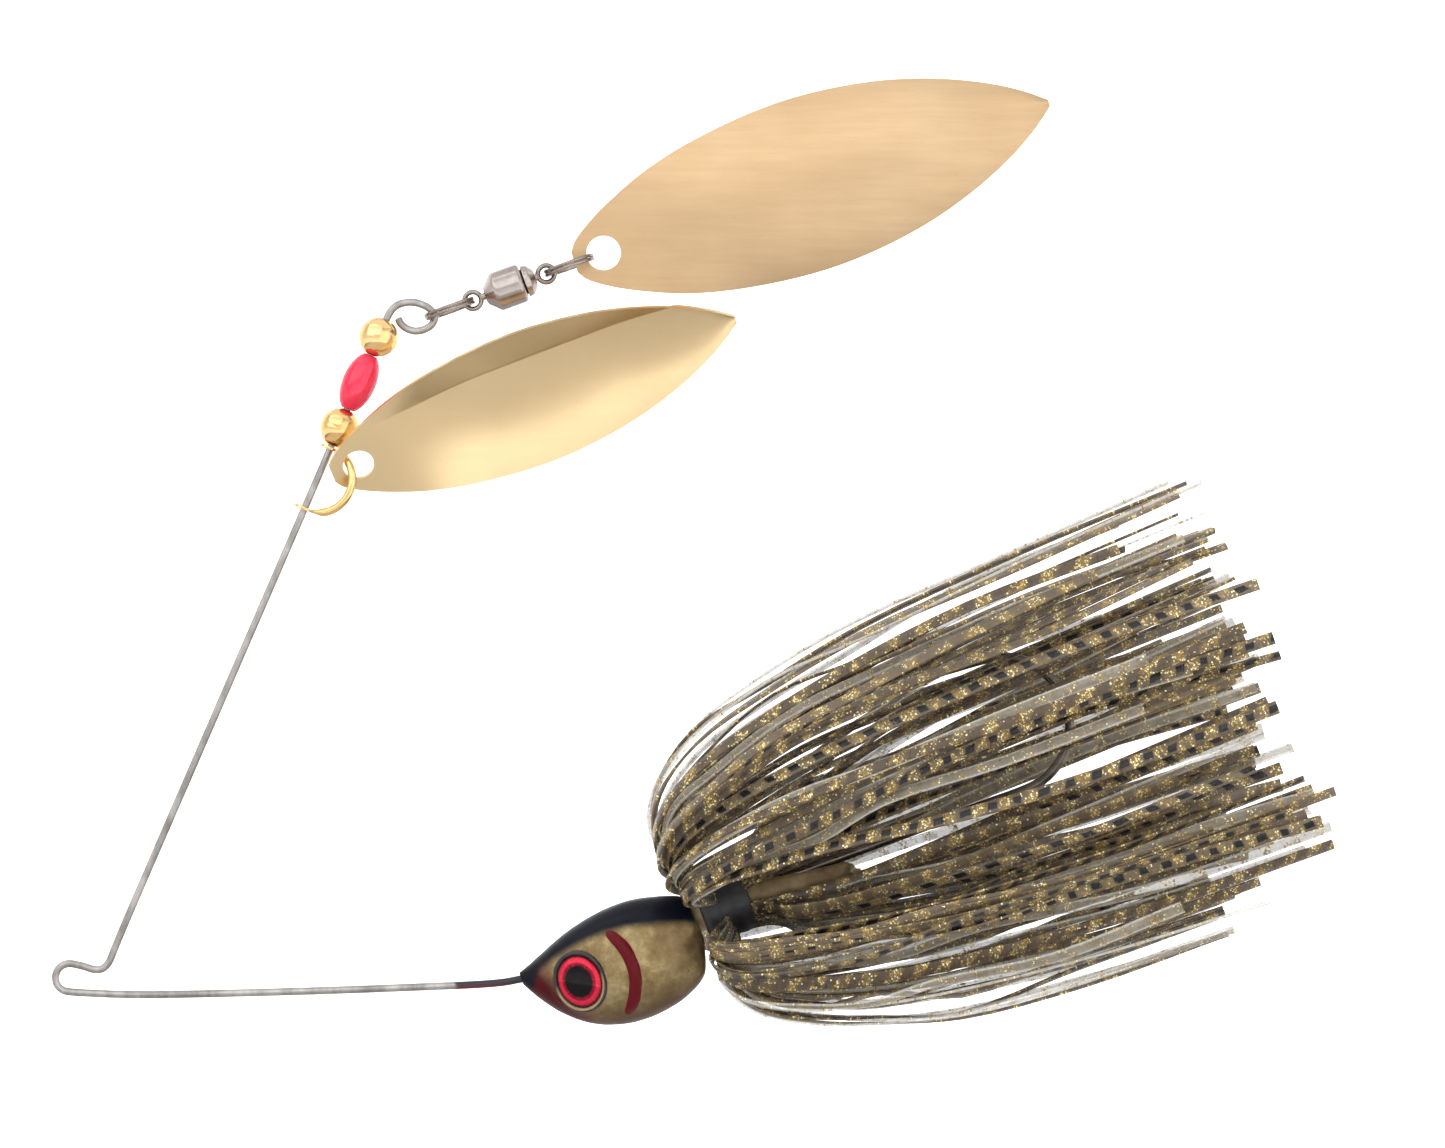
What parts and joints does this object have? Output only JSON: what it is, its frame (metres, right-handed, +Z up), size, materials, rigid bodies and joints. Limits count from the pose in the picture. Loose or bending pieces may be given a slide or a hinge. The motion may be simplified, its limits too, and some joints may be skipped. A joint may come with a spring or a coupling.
{
  "type": "spinnerbait",
  "caption": "Fishing lure: bent wire with an open line tie, painted head and hook under a flared rubber skirt, and two willow-leaf blades on a clevis and a swivel.",
  "frame": {"origin": "centre of the open line-tie bend", "axes": "+X towards the skirt's tips, along the lower wire; +Z up, towards the blades; the wire form lies in the XZ plane"},
  "size_m": [0.1532, 0.0488, 0.1133],
  "materials": {
    "spring_wire": "drawn spring wire, satin grey",
    "head_paint": "gloss clear coat over gold-bronze sides and a black back",
    "eye_resin": "domed clear resin over a red iris and black pupil",
    "hook_steel": "dark bronzed steel",
    "collar_rubber": "matt black band",
    "skirt_silicone": "smoky translucent silicone with gold flake and dark printed bars",
    "gold_plate": "polished gold plate",
    "blade_gold": "satin gold plate",
    "coral_bead": "fluorescent translucent plastic",
    "nickel": "polished nickel",
    "ball_steel": "polished steel"
  },
  "bodies": {
    "frame": {"wire_form": "spring_wire", "head": "head_paint", "eye_near": "eye_resin", "eye_far": "eye_resin", "hook": "hook_steel", "skirt_collar": "collar_rubber", "skirt_outer_1": "skirt_silicone", "skirt_outer_2": "skirt_silicone", "skirt_outer_3": "skirt_silicone", "skirt_outer_4": "skirt_silicone", "skirt_outer_5": "skirt_silicone", "skirt_outer_6": "skirt_silicone", "skirt_outer_7": "skirt_silicone", "skirt_outer_8": "skirt_silicone", "skirt_outer_9": "skirt_silicone", "skirt_outer_10": "skirt_silicone", "skirt_outer_11": "skirt_silicone", "skirt_outer_12": "skirt_silicone", "skirt_inner_1": "skirt_silicone", "skirt_inner_2": "skirt_silicone", "skirt_inner_3": "skirt_silicone", "skirt_inner_4": "skirt_silicone", "skirt_inner_5": "skirt_silicone", "skirt_inner_6": "skirt_silicone"},
    "lower_bead": {"bead_lower": "gold_plate"},
    "middle_bead": {"bead_middle": "coral_bead"},
    "upper_bead": {"bead_upper": "gold_plate"},
    "clevis": {"clevis": "gold_plate"},
    "front_blade": {"front_blade": "blade_gold"},
    "arm_ring": {"split_ring_arm": "nickel"},
    "swivel_housing": {"swivel_barrel": "nickel", "swivel_end_cap": "nickel", "swivel_eye_front": "nickel", "swivel_ball_1": "ball_steel", "swivel_ball_2": "ball_steel", "swivel_ball_3": "ball_steel", "swivel_ball_4": "ball_steel", "swivel_ball_5": "ball_steel", "swivel_ball_6": "ball_steel"},
    "swivel_rear_eye": {"swivel_eye_rear": "nickel"},
    "blade_ring": {"split_ring_blade": "nickel"},
    "rear_blade": {"rear_blade": "blade_gold"}
  },
  "joints": [
    {"name": "bead_slide", "type": "slide", "parent": "frame", "child": "lower_bead", "axis": [-0.3971, 0, -0.9178], "range_m": [0, 0.045]},
    {"name": "middle_bead_slide", "type": "slide", "parent": "frame", "child": "middle_bead", "axis": [-0.3971, 0, -0.9178], "range_m": [0, 0.045]},
    {"name": "upper_bead_slide", "type": "slide", "parent": "frame", "child": "upper_bead", "axis": [-0.3971, 0, -0.9178], "range_m": [0, 0.045]},
    {"name": "clevis_spin", "type": "hinge", "parent": "lower_bead", "child": "clevis", "pos_m": [0.02926, 0, 0.05888], "axis": [0.3971, 0, 0.9178], "continuous": true},
    {"name": "front_blade_swing", "type": "hinge", "parent": "clevis", "child": "front_blade", "pos_m": [0.02977, -0.0002, 0.05865], "axis": [-0.3139, -0.9397, 0.1358], "range_deg": [-45, 0]},
    {"name": "arm_ring_swing", "type": "hinge", "parent": "frame", "child": "arm_ring", "pos_m": [0.04303, 0, 0.0782], "axis": [-0.342, 0, 0.9397], "range_deg": [-50, 50]},
    {"name": "swivel_swing", "type": "hinge", "parent": "arm_ring", "child": "swivel_housing", "pos_m": [0.04756, 0, 0.07985], "axis": [0, -1, 0], "range_deg": [-1.5, 75]},
    {"name": "swivel_spin", "type": "hinge", "parent": "swivel_housing", "child": "swivel_rear_eye", "pos_m": [0.05189, 0, 0.08142], "axis": [0.9397, 0, 0.342], "continuous": true},
    {"name": "blade_ring_swing", "type": "hinge", "parent": "swivel_rear_eye", "child": "blade_ring", "pos_m": [0.05715, 0, 0.08334], "axis": [-0.342, 0, 0.9397], "range_deg": [-50, 50]},
    {"name": "rear_blade_swing", "type": "hinge", "parent": "blade_ring", "child": "rear_blade", "pos_m": [0.06166, 0, 0.08498], "axis": [0, -1, 0], "range_deg": [-1, 60]}
  ],
  "couplings": [
    {"joint": "middle_bead_slide", "follows": "bead_slide", "ratio": 1},
    {"joint": "upper_bead_slide", "follows": "bead_slide", "ratio": 1}
  ]
}
